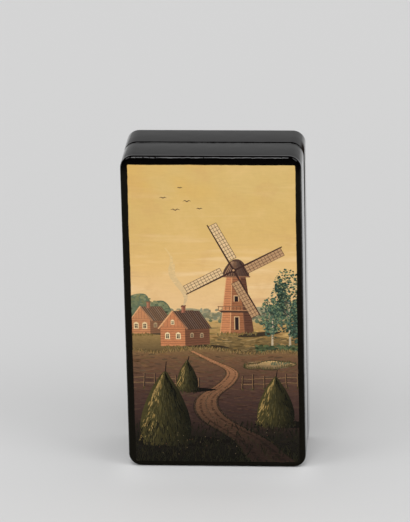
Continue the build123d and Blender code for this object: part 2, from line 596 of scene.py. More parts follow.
def sky_colour(finish):
    """An evening sky: amber above, paler and rosier towards the horizon, with drawn-out cloud."""
    place = finish.place()
    z = finish.axes(place)[2] / mm
    drift = finish.strands(place, 14.0, 60.0, 0.30, detail=3.0)
    rise = finish.smooth(z + (drift - 0.5) * 22.0, horizon_mm, height_mm)
    colour = finish.node("ValToRGB", {"Fac": rise}, stops=amber)
    golden_patches = finish.smooth(finish.noise(place, 34.0), 0.42, 0.60)
    high_up = finish.smooth(z, height_mm - 26.0, height_mm - 8.0)
    colour = finish.blend(golden_patches * high_up * 0.6, colour, srgb(218, 174, 92))
    bars = finish.strands(place, 22.0, 210.0, 0.05, detail=5.0, roughness=0.55, distortion=0.4)
    near_horizon = finish.fall(z, horizon_mm + 16, horizon_mm + 52)
    lit = finish.smooth(bars, 0.54, 0.70) * (0.25 + near_horizon * 0.75)
    shaded = finish.fall(bars, 0.28, 0.46) * near_horizon
    colour = finish.blend(lit * 0.55, colour, srgb(238, 206, 158))
    colour = finish.blend(shaded * 0.50, colour, srgb(188, 140, 104))
    mottle = finish.noise(place, 95.0, detail=4.0, roughness=0.6)
    colour = finish.blend(finish.smooth(mottle, 0.50, 0.74) * 0.40, colour, srgb(226, 190, 128))
    colour = finish.blend(finish.fall(mottle, 0.30, 0.50) * 0.30, colour, srgb(204, 160, 104))
    hairs = finish.strands(place, 260.0, 1500.0, 0.35, detail=3.0)
    return finish.blend((hairs - 0.35) * 0.16, colour, srgb(150, 118, 70))


dress("lid_picture", painted("picture_sky", sky_colour))
print("sky from", horizon_mm, "to", round(height_mm - frame_top, 1), "mm up")

# %% [markdown]
# ## Paint laid over the sky
#
# Houses, trees and fields are opaque paint on top of the sky, in touches with their own edges. They
# could be one flat picture, but shapes keep their edges crisp from any distance. Each touch is a
# thin closed patch, and it keeps its colour as an attribute of its mesh. A patch lies a hair above
# those under it, so that later touches cover earlier ones, and no two lie in one plane. The highest
# is 0.17 mm up, which is more than real paint.

# %% Mix the paint
patch_paint = "paint"


def patch_colour(finish):
    """The colour kept in the mesh, broken up a little by the hairs of the brush."""
    kept = finish.node("Attribute", attribute_name=patch_paint)
    hairs = finish.strands(finish.place(), 700.0, 1900.0, 0.5, detail=3.0)
    thin = finish.node("VectorMath", {0: kept, "Scale": 1.45}, operation="SCALE")
    thick = finish.node("VectorMath", {0: kept, "Scale": 0.62}, operation="SCALE")
    colour = finish.blend(finish.smooth(hairs, 0.50, 0.80) * 0.45, kept, thin)
    return finish.blend(finish.fall(hairs, 0.22, 0.48) * 0.45, colour, thick)


picture_paint = painted("picture_paint", patch_colour)


def between(first, second, share):
    """A colour part of the way from one to another."""
    share = min(1.0, max(0.0, share))
    return tuple(a + (b - a) * share for a, b in zip(first, second))


def fade(upper, lower, high, depth):
    """A rule: one colour from a height up, which turns into another over a depth below it."""
    return lambda u, v: between(upper, lower, (high - v) / depth)


def mixed(rule, colour, share):
    """A rule with a share of one more colour stirred in."""
    return lambda u, v: between(rule(u, v), colour, share)


print("paint kept in the mesh as:", patch_paint)

# %% Draw smooth outlines
edge, floor_mm, ceiling_mm = 33.0, 2.0, 127.6


def curved(points, steps=5, closed=True):
    """A smooth line through a few points. Each span is a cubic that heads, at a point, the way that
    the line between its two neighbours runs."""
    smooth = []
    count = len(points)
    for i in range(count if closed else count - 1):
        ends = [points[(i + k) % count] if closed else points[min(max(i + k, 0), count - 1)]
                for k in (-1, 0, 1, 2)]
        for step in range(steps):
            t = step / steps
            weights = (-t + 2 * t**2 - t**3, 2 - 5 * t**2 + 3 * t**3,
                       t + 4 * t**2 - 3 * t**3, -t**2 + t**3)
            smooth.append(tuple(sum(w * p[axis] for w, p in zip(weights, ends)) / 2 for axis in (0, 1)))
    if not closed:
        smooth.append(points[-1])
    return smooth


def ridge(line, floor):
    """The outline of land under a line of hills, down to a level floor."""
    crest = curved(line, closed=False)
    return crest + [(line[-1][0], floor), (line[0][0], floor)]


print("picture for painting, mm:", 2 * edge, "by", round(ceiling_mm - floor_mm, 1))

# %% Lay a patch, a bar or a touch of paint
layer_height, rank_height = 0.010 * mm, 0.0018 * mm
bite = 0.02 * mm
golden_share = 0.6180339887
sheet_size = 1500
margin = 0.1


class Motif:
    """One subject of the picture, painted in thin closed patches. Places are in mm: across the
    picture from its middle, and up from the end that the box stands on."""

    def __init__(self, name, layer, seed):
        self.name = name
        self.base = layer * layer_height
        self.chance = random.Random(seed)
        self.draw, self.choose = self.chance.uniform, self.chance.choice
        self.count = 0
        self.sheets = []
        self.mesh = self.new_sheet()

    def new_sheet(self):
        """Operators slow down as a mesh grows, so a motif is painted sheet by sheet."""
        sheet = bmesh.new()
        self.colours = sheet.loops.layers.float_color.new(patch_paint)
        return sheet

    def put_aside(self):
        data = bpy.data.meshes.new(self.name + "_sheet")
        bmesh.ops.recalc_face_normals(self.mesh, faces=self.mesh.faces)
        self.mesh.to_mesh(data)
        self.mesh.free()
        self.sheets.append(data)

    def height(self, rank):
        """How high the next patch stands. Neighbours differ, so none share a plane."""
        self.count += 1
        return self.base + (rank + self.count * golden_share % 1) * rank_height

    def tint(self, verts, colour):
        """Colours every face of a patch, and holds it within the picture. A colour may be a rule."""
        faces = {face for vert in verts for face in vert.link_faces}
        for vert in verts:
            vert.co.x = min(edge * mm, max(-edge * mm, vert.co.x))
            vert.co.z = min(ceiling_mm * mm, max(floor_mm * mm, vert.co.z))
        for face in faces:
            for loop in face.loops:
                place = loop.vert.co
                rgb = colour(place.x / mm, place.z / mm) if callable(colour) else colour
                loop[self.colours] = srgb(*rgb)
        if len(self.mesh.verts) > sheet_size:
            self.put_aside()
            self.mesh = self.new_sheet()

    def patch(self, outline, colour, rank=0, band=0.0):
        """A patch inside an outline. Bands cut it across, so that a rule can shade it smoothly."""
        top = face_y - self.height(rank)
        ring = [self.mesh.verts.new((u * mm, face_y + bite, v * mm)) for u, v in outline]
        made = bmesh.ops.extrude_face_region(self.mesh, geom=[self.mesh.faces.new(ring)])["geom"]
        raised = [part for part in made if isinstance(part, bmesh.types.BMVert)]
        bmesh.ops.translate(self.mesh, vec=(0, top - face_y - bite, 0), verts=raised)
        verts = ring + raised
        if band:
            low, high = min(v for u, v in outline), max(v for u, v in outline)
            faces = {face for vert in verts for face in vert.link_faces}
            parts = set(verts) | faces | {side for face in faces for side in face.edges}
            for step in range(1, math.ceil((high - low) / band)):
                cut = bmesh.ops.bisect_plane(self.mesh, geom=list(parts), dist=1e-9,
                                             plane_co=(0, 0, (low + step * band) * mm),
                                             plane_no=(0, 0, 1))
                parts = set(cut["geom"]) | set(cut["geom_cut"])
            verts = [part for part in parts if isinstance(part, bmesh.types.BMVert)]
        self.tint(verts, colour)

    def block(self, left, low, right, high, colour, rank):
        """An upright rectangle."""
        self.patch([(left, low), (right, low), (right, high), (left, high)], colour, rank)

    def bar(self, start, end, width, colour, rank=0, end_width=None):
        """A straight stroke, which may taper."""
        first, last = Vector(start), Vector(end)
        along = (last - first).normalized()
        side = Vector((-along.y, along.x)) / 2
        far_side = side * (width if end_width is None else end_width)
        near_side = side * width
        self.patch([first - near_side, last - far_side, last + far_side, first + near_side], colour, rank)

    def stroke(self, line, widths, colour, rank, band):
        """A curved stroke along a line of points, as wide as it is told at each of them."""
        left, right = [curved([(u + half * wide, v) for (u, v), wide in zip(line, widths)], closed=False)
                       for half in (-0.5, 0.5)]
        self.patch(left + right[::-1], colour, rank, band)

    def cloud(self, u, v, wide, tall, colour, rank=0, points=11, rough=0.16):
        """A rounded shape with an uneven edge, such as a tree's crown seen against the light."""
        around = []
        for i in range(points):
            angle = 2 * math.pi * i / points
            out = 0.5 * (1 + self.draw(-rough, rough))
            around.append((u + math.cos(angle) * out * wide, v + math.sin(angle) * out * tall))
        self.patch(curved(around, steps=3), colour, rank)

    def touch(self, u, v, wide, tall, turn, colour, rank, sides):
        """One oval touch of the brush. The turn is in degrees."""
        if abs(u) > edge - margin or not floor_mm + margin < v < ceiling_mm - margin:
            return
        top = face_y - self.height(rank)
        middle = (u * mm, (top + face_y + bite) / 2, v * mm)
        size = (wide / 2 * mm, face_y + bite - top, tall / 2 * mm, 1.0)
        place = (Matrix.Translation(middle) @ Matrix.Rotation(math.radians(turn), 4, "Y")
                 @ Matrix.Diagonal(size) @ Matrix.Rotation(math.radians(90), 4, "X"))
        made = bmesh.ops.create_cone(self.mesh, cap_ends=True, cap_tris=False, segments=sides,
                                     radius1=1.0, radius2=1.0, depth=1.0, matrix=place)
        self.tint(made["verts"], colour)

    def vary(self, colour, amount):
        """The same colour, a little lighter or darker, and a little warmer or cooler."""
        light = self.draw(-amount, amount)
        warm = self.draw(-amount, amount) * 0.4
        r, g, b = colour
        return tuple(min(255, max(0, part)) for part in (r + light + warm, g + light, b + light - warm))

    def dab(self, u, v, wide, tall, turn, colour, amount, rank=0, sides=7):
        """A touch with a hand's unevenness. Each measure may be a range to draw from, and the
        colour, which may be a rule, varies by an amount."""
        measures = (u, v, wide, tall, turn)
        u, v, wide, tall, turn = [self.draw(*value) if isinstance(value, tuple) else value
                                  for value in measures]
        if callable(colour):
            colour = colour(u, v)
        self.touch(u, v, wide, tall, turn, self.vary(colour, amount), rank, sides)

    def scatter(self, count, *measures, **more):
        """Many dabs by one rule."""
        for i in range(count):
            self.dab(*measures, **more)

    def finish(self):
        """Joins the sheets and makes the paint a piece of the lid."""
        self.put_aside()
        whole = bmesh.new()
        for data in self.sheets:
            whole.from_mesh(data)
            bpy.data.meshes.remove(data)
        data = bpy.data.meshes.new(self.name)
        whole.to_mesh(data)
        whole.free()
        piece = added(self.name, data)
        data.materials.append(picture_paint)
        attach(piece, "lid")
        print(self.name, "patches:", self.count, "faces:", len(data.polygons))


# %% [markdown]
# ## Far woods and fields
#
# Distance takes the dark out of colours first. The far woods are a blue-green mist a little darker
# than the sky, and each band of land that comes nearer is warmer and darker than the one behind.
# A band of land is one large patch whose colour is a rule, with touches scattered over it.

# %% Paint the distance
far = Motif("painted_distance", layer=1, seed=11)
mist = fade((152, 144, 114), (184, 156, 110), 66.5, 6)
field = fade((200, 164, 106), (150, 116, 72), 63.5, 9)


def stubble(u, v):
    return between((208, 170, 106), (120, 100, 60), far.chance.random())


far.patch(ridge([(-edge, 66.5), (-26, 68.0), (-18, 66.0), (-9, 67.4), (0, 65.6), (9, 66.4),
                 (18, 68.2), (26, 67.0), (edge, 68.8)], 56), mist, band=1.5)
for i in range(190):
    u, drop = far.draw(-edge + 1, edge - 1), far.draw(0, 1)
    far.dab(u, 66.9 - drop * 3.6, (1.0, 2.6), (0.8, 1.9), (-15, 15),
            between((146, 142, 114), (118, 116, 90), drop), 8, rank=1)
far.patch(ridge([(-edge, 62.4), (-20, 63.2), (-6, 62.0), (8, 62.6), (20, 61.6), (edge, 63.0)], 50),
          field, rank=2, band=1.2)
far.scatter(130, (-edge + 1, edge - 1), (54, 62), (3, 9), (0.25, 0.6), (-4, 2), stubble, 8, rank=3)
far.scatter(26, (-12, 30), (61.2, 62.3), (0.9, 2.2), (0.8, 1.8), 0, (98, 106, 78), 9, rank=4)
far.finish()

# %% [markdown]
# ## The village
#
# Log houses under plank roofs. The low sun is on the left, so the gable walls take the warm light
# and the long walls lie in their own shade. A wall's logs are one thin dark line each, and the
# carved window frames are the palest touches in the picture. One function paints every house, and
# the farther ones are smaller and paler.

# %% Build up one log house
house_ranks = 5
evening_air = (190, 158, 112)
eaves_slope, overhang = 0.10, 0.9
log_width, roof_plank = 0.95, 1.3


def house(motif, left, foot, gable, wall, roof, length, haze, order):
    """A house seen from its left corner. The haze, from 0 to 1, pales it with distance."""
    rank = 3 + order * house_ranks

    def aired(*colour):
        return between(colour, evening_air, haze)

    lit, log, trim = aired(190, 124, 84), aired(130, 82, 57), aired(226, 200, 154)
    corner, ridge_u = left + gable, left + gable / 2
    far_corner, drop = corner + length, length * eaves_slope
    eaves, top = foot + wall, foot + wall + roof
    motif.touch(corner + length * 0.5, foot + drop * 0.3, gable + length * 1.6, 1.5, 3,
                aired(58, 48, 36), rank - 1, sides=14)
    motif.patch([(corner, foot), (far_corner, foot + drop), (far_corner, eaves + drop * 0.4),
                 (corner, eaves)], aired(112, 74, 55), rank)
    motif.patch([(left, foot), (corner, foot), (corner, eaves), (ridge_u, top), (left, eaves)], lit, rank)
    logs = max(4, round(wall / log_width))
    for i in range(1, logs):
        v = foot + wall * i / logs
        motif.bar((left - 0.25, v), (corner, v), 0.16, log, rank + 1)
        motif.bar((corner, v), (far_corner, v + drop * (1 - 0.6 * i / logs)), 0.15,
                  aired(82, 54, 42), rank + 1)
    motif.block(left, eaves - 0.1, corner, eaves + 0.12, aired(150, 100, 70), rank + 1)
    for i in range(1, 7):
        u = left + gable * i / 7
        reach = top - abs(u - ridge_u) * roof / (gable / 2)
        motif.bar((u, eaves + 0.1), (u, reach - 0.3), 0.12, log, rank + 1)

    # The roof, and its planks from left to right
    motif.patch([(ridge_u, top + 0.35), (ridge_u + length + overhang, top + 0.35 + drop * 0.25),
                 (far_corner + overhang, eaves - 0.7 + drop * 0.4), (corner + overhang, eaves - 0.9)],
                aired(66, 50, 44), rank + 2)
    planks = max(6, round(length * roof_plank))
    for i in range(planks):
        share = (i + 0.5) / planks
        u = ridge_u + (length + overhang) * share
        motif.bar((u, top + 0.3 + drop * 0.25 * share), (u + gable / 2, eaves - 0.8 + drop * 0.4 * share),
                  0.34, motif.vary(aired(112, 86, 68), 9), rank + 3)
    motif.bar((ridge_u + 0.1, top + 0.45), (left - 0.9, eaves - 0.7), 0.55, aired(214, 160, 112), rank + 4)
    motif.bar((ridge_u - 0.1, top + 0.45), (corner + overhang, eaves - 0.9), 0.55,
              aired(156, 108, 78), rank + 4)

    # The windows: two in each wall, and one in a tall gable
    windows = [(left + gable * share, foot + wall * 0.52, 0.0, 0.95, trim) for share in (0.28, 0.72)]
    windows += [(corner + length * share, foot + wall * 0.52 + drop * 0.4, 0.08, 0.68,
                 aired(164, 138, 104)) for share in (0.28, 0.68)]
    if roof > 5:
        windows.append((ridge_u, eaves + roof * 0.30, 0.0, 0.7, trim))
    for u, v, lean, half, frame_colour in windows:
        tall, pane, sill = half * 1.25, half * 0.56, half * 0.90
        motif.patch([(u - half, v - tall - lean), (u + half, v - tall + lean), (u + half, v + tall + lean),
                     (u, v + tall + half * 0.62), (u - half, v + tall - lean)], frame_colour, rank + 3)
        motif.block(u - pane, v - sill, u + pane, v + sill, aired(52, 42, 42), rank + 4)
        motif.bar((u, v - sill), (u, v + sill), 0.14, frame_colour, rank + 5)
        motif.bar((u - pane, v + tall * 0.15), (u + pane, v + tall * 0.15), 0.14, frame_colour, rank + 5)

    # The chimney
    stack = ridge_u + length * 0.45
    motif.block(stack - 0.7, top - 0.3, stack + 0.7, top + 2.2, aired(164, 104, 80), rank + 4)
    motif.bar((stack + 0.35, top - 0.3), (stack + 0.35, top + 2.2), 0.6, aired(120, 78, 62), rank + 5)
    motif.bar((stack - 0.9, top + 2.3), (stack + 0.9, top + 2.3), 0.4, aired(110, 72, 58), rank + 5)


# %% Paint the village green, and the trees behind
village = Motif("painted_village", layer=2, seed=23)
crowns = [(-29, 67, 12, 13), (-22, 65.5, 11, 10), (-31, 61, 10, 8), (-15.5, 63, 8, 6.5)]
leafy_crowns = crowns[:2] + crowns[3:]
green = fade((166, 134, 82), (98, 80, 54), 59.5, 11)


def lit_green(u, v):
    return between(green(u, v), (196, 156, 94), village.chance.random() * 0.45)


for u, v, wide, tall in crowns:
    village.cloud(u, v, wide, tall, village.vary((92, 104, 82), 6))
for i in range(300):
    u, v, wide, tall = village.choose(leafy_crowns)
    angle, out = village.draw(0, 2 * math.pi), math.sqrt(village.chance.random()) * 0.46
    up = math.sin(angle) * out
    village.dab(u + math.cos(angle) * out * wide, v + up * tall, (0.9, 2.0), (0.6, 1.4), (-40, 40),
                between((74, 90, 72), (140, 138, 98), 0.42 + up), 9, rank=1, sides=6)
village.patch(ridge([(-edge, 59.6), (-26, 60.2), (-18, 59.4), (-11, 57.8), (-4, 55.0), (2, 52.0)], 45),
              green, rank=2, band=1.0)
for i in range(200):
    u = village.draw(-edge + 1, -1)
    v = 46 + village.chance.random() * (12.4 - max(0, u + 14) * 0.45)
    village.dab(u, v, (1.2, 4.4), (0.25, 0.6), (-8, 4), lit_green, 9, rank=2)
print("crowns behind the village:", len(crowns))

# %% Paint the three houses
house(village, left=-16.5, foot=58.4, gable=5.2, wall=4.4, roof=3.4, length=5.0, haze=0.38, order=0)
house(village, left=-32.6, foot=56.6, gable=7.6, wall=6.2, roof=4.8, length=7.4, haze=0.18, order=1)
house(village, left=-21.0, foot=51.4, gable=9.6, wall=8.0, roof=6.4, length=9.6, haze=0.0, order=2)
for i in range(90):
    u = village.choose((village.draw(-32.6, -24), village.draw(-22, -1)))
    foot = 56.4 if u < -24 else 51.2 + max(0, u + 11) * 0.08
    village.dab(u, (foot - 0.5, foot + 0.3), 0.3, (0.6, 1.5), (-25, 25), (112, 96, 58), 16,
                rank=19, sides=5)
village.finish()

# %% [markdown]
# ## The windmill
#
# A smock mill of planks on a rise: three sides of its tapering tower show, lit, half lit and in
# shade. The four sails are a spar each, with a ladder of laths on one side of it. The tower is
# worked out from its width at the foot and at the neck, so planks and corners follow its taper.

# %% Raise the mill's rise
mill = Motif("painted_windmill", layer=4, seed=37)
rise_colour = fade((158, 126, 76), (88, 74, 50), 60, 12)


def dry_grass(u, v):
    return between(rise_colour(u, v), mill.choose(((192, 152, 92), (64, 58, 42))), 0.35)


mill.patch(ridge([(-9, 50.0), (-2, 53.6), (5, 57.2), (12, 58.2), (20, 56.8), (28, 55.0), (edge, 55.6)], 46),
           rise_colour, band=1.0)
for i in range(260):
    u = mill.draw(-5, edge - 1)
    mill.dab(u, (47, 57.4 - abs(u - 12) * 0.16), (1.2, 4.2), (0.3, 0.7), (-14, 14), dry_grass, 10, rank=1)
mill.touch(17.5, 56.6, 17, 1.8, -6, (60, 50, 38), rank=2, sides=14)

# %% Board the tower
mill_u, mill_foot, mill_neck = 9.0, 57.0, 81.0
foot_half, neck_half = 6.6, 3.7
boards = 24


def tower_side(share, v):
    """Where a share of the tower's width, from -1 to 1, lies at a height."""
    up = (v - mill_foot) / (mill_neck - mill_foot)
    return mill_u + share * (foot_half + (neck_half - foot_half) * up)


for left, right, colour in ((-1.0, -0.42, (196, 130, 88)), (-0.42, 0.46, (156, 102, 70)),
                            (0.46, 1.0, (96, 64, 50))):
    mill.patch([(tower_side(left, mill_foot), mill_foot), (tower_side(right, mill_foot), mill_foot),
                (tower_side(right, mill_neck), mill_neck), (tower_side(left, mill_neck), mill_neck)],
               colour, rank=3)
    for i in range(boards):
        v = mill_foot + (mill_neck - mill_foot) * (i + 0.5) / boards
        mill.bar((tower_side(left, v) + 0.1, v), (tower_side(right, v) - 0.1, v),
                 mill.draw(0.10, 0.24), mill.vary(between(colour, (40, 28, 24), 0.30), 10), rank=4)
for share in (-1.0, -0.42, 0.46):
    mill.bar((tower_side(share, mill_foot), mill_foot), (tower_side(share, mill_neck), mill_neck), 0.26,
             (214, 158, 110) if share < 0 else (112, 78, 60), rank=5)
for v, tall in ((61.3, 5.6), (71.6, 2.6), (77.0, 2.0)):
    low, high = v - tall / 2, v + tall / 2
    mill.block(mill_u - 1.1, low, mill_u + 1.0, high, (204, 166, 122), rank=5)
    mill.block(mill_u - 0.75, low, mill_u + 0.65, high - 0.35, (44, 34, 34), rank=6)
print("boards on the tower:", 3 * boards)

# %% Hang the gallery
gallery_left, gallery_right = mill_u - 7.4, mill_u + 7.4
gallery_floor, gallery_rail = 66.6, 68.2
balusters, baluster_inset = 11, 0.3
baluster_gap = (gallery_right - gallery_left - 2 * baluster_inset) / (balusters - 1)

mill.patch([(gallery_left, gallery_floor), (gallery_right, gallery_floor), (gallery_right - 1.4, 65.7),
            (gallery_left + 1.4, 65.7)], (74, 54, 44), rank=6)
for i in range(balusters):
    u = gallery_left + baluster_inset + i * baluster_gap
    mill.bar((u, gallery_floor - 0.2), (u, gallery_rail), 0.2, (92, 68, 54), rank=6)
mill.bar((gallery_left, gallery_rail), (gallery_right, gallery_rail), 0.3, (140, 102, 74), rank=7)
mill.bar((gallery_left, gallery_floor), (gallery_right, gallery_floor), 0.3, (176, 128, 90), rank=7)
print("balusters:", balusters)

# %% Put on the cap and the sails
mill.patch(curved([(mill_u - 5.2, 80.6), (mill_u - 4.6, 83.6), (mill_u - 1.6, 87.4), (mill_u + 1.8, 87.6),
                   (mill_u + 4.6, 84.0), (mill_u + 5.2, 80.6)], closed=False), (84, 62, 52), rank=5)
for i in range(11):
    share = i / 10
    mill.bar((mill_u - 4.7 + 9.4 * share, 81.0), (mill_u - 1.5 + 3.1 * share, 87.0), 0.30,
             mill.vary(between((166, 126, 94), (58, 44, 40), share), 7), rank=6)
mill.bar((mill_u - 5.5, 80.7), (mill_u + 5.5, 80.7), 0.55, (132, 94, 70), rank=7)
hub = Vector((mill_u - 0.8, 83.2))
sail_root, sail_length, sail_width = 4.4, 20.5, 3.5
for quarter in range(4):
    turn = math.radians(28 + 90 * quarter)
    along = Vector((math.cos(turn), math.sin(turn)))
    side = Vector((along.y, -along.x))
    cloth = (220, 188, 142) if quarter in (1, 2) else (180, 142, 104)
    inner, outer, across = hub + along * sail_root, hub + along * sail_length, side * sail_width
    mill.patch([inner, outer, outer + across, inner + across], cloth, rank=8)
    for i in range(12):
        start = inner + (outer - inner) * i / 11
        mill.bar(start, start + across, 0.17, (84, 60, 48), rank=9)
    for share in (0.36, 0.70, 1.0):
        mill.bar(inner + across * share, outer + across * share, 0.17, (92, 66, 52), rank=9)
    mill.bar(hub, hub + along * (sail_length + 0.8), 0.75, (66, 46, 40), rank=10, end_width=0.42)
mill.touch(hub.x, hub.y, 1.9, 1.9, 0, (58, 42, 38), rank=11, sides=12)
mill.touch(hub.x - 0.15, hub.y + 0.15, 0.9, 0.9, 0, (190, 146, 106), rank=12, sides=10)
mill.scatter(60, (mill_u - 8, mill_u + 8), (56.4, 57.4), 0.3, (0.7, 1.7), (-25, 25), (118, 100, 60), 16,
             rank=7, sides=5)
mill.finish()

# %% [markdown]
# ## The trees
#
# A tree in a picture this small is a cloud of touches: the darkest first, in the heart and low down,
# then the green, then few light ones on the side of the sun. Each later layer is drawn in a little
# and shifted up and to the left.

# %% Grow the trees
trees = Motif("painted_trees", layer=7, seed=41)
branches = 7
layer_shift = 0.075


def tree(motif, u, foot, crown, wide, tall, leaves, tones, trunk, rank):
    """A round-headed tree. Its tones go from the dark heart to the lit edge."""
    draw = motif.draw
    lean = draw(-0.8, 0.8)
    for i in range(branches):
        side = motif.choose((-1, 1)) * wide * draw(0.04, 0.22)
        up = tall * draw(-0.22, 0.26)
        size = draw(0.30, 0.52)
        motif.cloud(u + lean + side, crown + up, wide * size * 0.8, tall * size * 0.62,
                    motif.vary(tones[0], 4), rank, points=17, rough=0.24)
    motif.bar((u, foot), (u + lean, crown + tall * 0.1), 0.9, trunk, rank + 1, end_width=0.35)
    for i in range(branches):
        side = motif.choose((-1, 1)) * wide * draw(0.12, 0.30)
        start = foot + (crown - foot) * draw(0.55, 0.95)
        motif.bar((u + lean * 0.6, start), (u + side, start + tall * draw(0.12, 0.28)), 0.30,
                  between(trunk, (40, 34, 30), 0.5), rank + 1, end_width=0.10)
    for layer, tone in enumerate(tones[1:], start=1):
        shift = layer * layer_shift
        for i in range(leaves):
            angle, out = draw(0, 2 * math.pi), math.sqrt(motif.chance.random()) / 2 * (1 - shift * 0.6)
            x = u + lean + math.cos(angle) * out * wide - shift * wide * 0.35
            y = crown + math.sin(angle) * out * tall + shift * tall * 0.30
            size = draw(0.5, 1.3) * (1 - 0.12 * layer)
            motif.dab(x, y, size * 1.25, size * 0.8, (-50, 50), tone, 8, rank + 1 + layer, sides=6)


def underwood(u, v):
    return between((52, 62, 46), (104, 112, 74), trees.chance.random())


teal = [(44, 56, 47), (50, 64, 53), (64, 84, 70), (88, 108, 84), (148, 144, 98)]
cool = [(50, 63, 53), (60, 78, 64), (78, 98, 80), (110, 124, 90)]
tree(trees, 29.6, foot=51, crown=70, wide=13.5, tall=28, leaves=150, tones=teal,
     trunk=(176, 160, 132), rank=0)
tree(trees, 33.0, foot=48, crown=60, wide=10, tall=17, leaves=90, tones=teal[:4],
     trunk=(120, 104, 84), rank=5)
tree(trees, 22.6, foot=50, crown=63, wide=9.5, tall=18, leaves=110, tones=cool,
     trunk=(186, 168, 138), rank=10)
trees.touch(30, 50.2, 16, 2.0, -3, (44, 42, 34), rank=15, sides=14)
trees.scatter(150, (16.5, edge), (48.5, 51.9), (0.9, 2.2), (0.7, 1.4), (-30, 30), underwood, 7,
              rank=16, sides=6)
trees.finish()

# %% [markdown]
# ## The meadow and the track
#
# The ground falls from the last light into the dark of the near meadow, which keeps the eye inside
# the picture. A cart track winds through it and ties the village to the viewer. It is given by its
# middle line and its width at a few places, and the ruts and the verge follow from these.

# %% Lay the meadow
meadow = Motif("painted_meadow", layer=10, seed=53)
ground = [(52, (134, 106, 68)), (46, (108, 80, 58)), (37, (86, 62, 51)), (26, (66, 48, 43)),
          (18, (50, 38, 34)), (12, (31, 28, 24)), (2, (24, 22, 18))]
strays = ((134, 102, 62), (30, 28, 23), (90, 88, 56), (112, 72, 50))
crest = [(-edge, 50.2), (-24, 49.0), (-14, 50.0), (-4, 51.0), (6, 49.6), (16, 48.6), (25, 49.8),
         (edge, 48.8)]


def ground_colour(u, v):
    for (high, first), (low, second) in zip(ground, ground[1:]):
        if v > low:
            return between(first, second, (high - v) / (high - low))
    return ground[-1][1]


meadow.patch(ridge(crest, floor_mm), ground_colour, band=0.8)
for i in range(1000):
    v = floor_mm + 46.5 * meadow.chance.random() ** 0.8
    u = meadow.draw(-edge + 1.0, edge - 1.0)
    depth = v / 50
    tone = between(ground_colour(u, v), meadow.choose(strays), 0.30 * depth ** 1.2)
    meadow.dab(u, v, (1.4, 5.0), (0.25, 0.8), (-12, 12), tone, 1.5 + 3.5 * depth, rank=1, sides=6)
for u, v in curved(crest, steps=34, closed=False):
    for tone in ((66, 62, 38), (150, 124, 76)):
        meadow.dab((u - 0.5, u + 0.5), (v - 0.5, v + 0.4), 0.3, (0.8, 1.9), (-30, 30),
                   between(ground_colour(u, v), tone, 0.55), 8, rank=1, sides=5)
print("tones of the ground:", len(ground))

# %% Wear the track into it
track = [(22.0, 2.4, 18.0), (13.0, 12.0, 13.5), (-1.0, 21.0, 10.2), (-3.5, 29.0, 7.6), (4.5, 36.0, 5.6),
         (6.5, 41.0, 4.0), (-1.5, 45.4, 2.7), (-9.0, 49.4, 1.8)]
track_line = [(u, v) for u, v, wide in track]
track_widths = [wide for u, v, wide in track]
near_track = 6.0
track_colour = fade((178, 124, 86), (46, 35, 30), 50, 40)
rut_colour = mixed(track_colour, (20, 17, 15), 0.36)
verge_colour = mixed(ground_colour, (22, 20, 16), 0.45)

meadow.stroke(track_line, [wide * 1.16 + 0.5 for wide in track_widths], verge_colour, rank=2, band=1.2)
meadow.stroke(track_line, track_widths, track_colour, rank=3, band=1.0)
for share in (-0.27, 0.27):
    meadow.stroke([(u + share * wide, v) for u, v, wide in track], [wide * 0.11 for wide in track_widths],
                  rut_colour, rank=4, band=1.6)
centre = curved(track_line, steps=26, closed=False)
widths = curved([(wide, 0) for wide in track_widths], steps=26, closed=False)
along_track = [(u, v, wide) for (u, v), (wide, _) in zip(centre, widths)]
for u, v, wide in along_track:
    near = wide > near_track
    for i in range(3 if near else 1):
        share = meadow.draw(-0.38, 0.38)
        worn = between(track_colour(u, v), (218, 164, 114), meadow.draw(-0.2, 0.24) * v / 50)
        meadow.dab(u + share * wide, (v - 0.4, v + 0.4), wide * 0.20, (0.16, 0.34), (-14, 14), worn, 4,
                   rank=5, sides=6)
    for share in (-0.52, 0.52, 0.0) if near else (-0.56, 0.56):
        blade = meadow.draw(0.5, 1.2) * (0.35 + wide * 0.07)
        aside = (share + meadow.draw(-0.04, 0.04)) * wide
        meadow.dab(u + aside, v + blade * 0.3, 0.28, blade, (-30, 30),
                   between(ground_colour(u, v), (88, 80, 46), 0.30), 7, rank=6, sides=5)
print("steps along the track:", len(along_track))

# %% Fill the pond
pond = [(11.4, 43.0), (13.6, 43.9), (16.6, 44.2), (19.2, 45.1), (22.8, 45.5), (26.2, 45.0), (29.2, 44.9),
        (31.6, 44.0), (29.4, 43.3), (26.6, 43.1), (24.4, 42.2), (20.6, 41.9), (17.4, 42.3), (13.8, 42.1)]
pond_u, pond_v = 21.0, 43.6
pond_low, pond_high = min(v for u, v in pond), max(v for u, v in pond)
bank = [(u + (u - pond_u) * 0.05, v + (v - pond_v) * 0.20 - 0.1) for u, v in pond]
pond_colour = fade((206, 168, 112), (104, 84, 62), pond_high, pond_high - pond_low)
ripple_colour = mixed(pond_colour, (98, 100, 76), 0.35)

meadow.patch(curved(bank), (62, 50, 38), rank=6)
meadow.patch(curved(pond), pond_colour, rank=7, band=0.4)
meadow.scatter(60, (pond_u - 7, pond_u + 7), (pond_v - 1.2, pond_v + 1.5), (1.5, 4.0), 0.14, 0,
               ripple_colour, 6, rank=8, sides=6)
meadow.scatter(34, (22, 30), (pond_high - 1.4, pond_high - 0.6), 0.5, (0.6, 1.5), 0, (92, 98, 74), 8,
               rank=8, sides=6)
for u, v in curved(pond, steps=16):
    if meadow.chance.random() < 0.62:
        tall = meadow.draw(0.7, 1.5) * (1.5 if v < pond_v else 0.9)
        meadow.dab((u - 0.3, u + 0.3), v + tall * 0.2, 0.24, tall, (-24, 24), (76, 70, 44), 14,
                   rank=9, sides=5)
meadow.finish()

